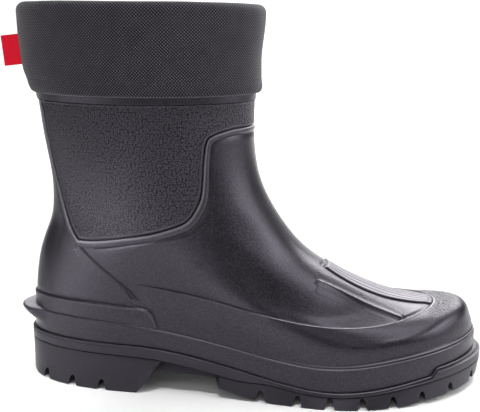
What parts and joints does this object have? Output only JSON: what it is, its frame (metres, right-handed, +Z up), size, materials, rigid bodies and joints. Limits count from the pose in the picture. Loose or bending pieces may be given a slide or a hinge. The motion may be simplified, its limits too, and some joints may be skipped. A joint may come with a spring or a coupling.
{
  "type": "ankle work boot",
  "caption": "Short black moulded work boot with a lugged sole, raised heel, kick-off spur, seam-line panels and a folded fabric cuff at the collar.",
  "frame": {"origin": "on the floor, under the middle of the boot's bounding box", "axes": "+X towards the toe, +Y towards the inner side of the foot, +Z up"},
  "size_m": [0.3203, 0.1156, 0.2503],
  "materials": {
    "moulded_foam": "satin black moulded foam, fine grain",
    "midsole_foam": "satin black moulded foam",
    "outsole_rubber": "matt to satin black rubber",
    "insole_felt": "dark grey felt",
    "cuff_textile": "black woven textile",
    "label_ribbon": "plain red woven ribbon"
  },
  "bodies": {
    "root": {"upper": "moulded_foam", "midsole": "midsole_foam", "outsole": "outsole_rubber", "insole": "insole_felt", "cuff": "cuff_textile", "label_tab": "label_ribbon"}
  },
  "joints": []
}
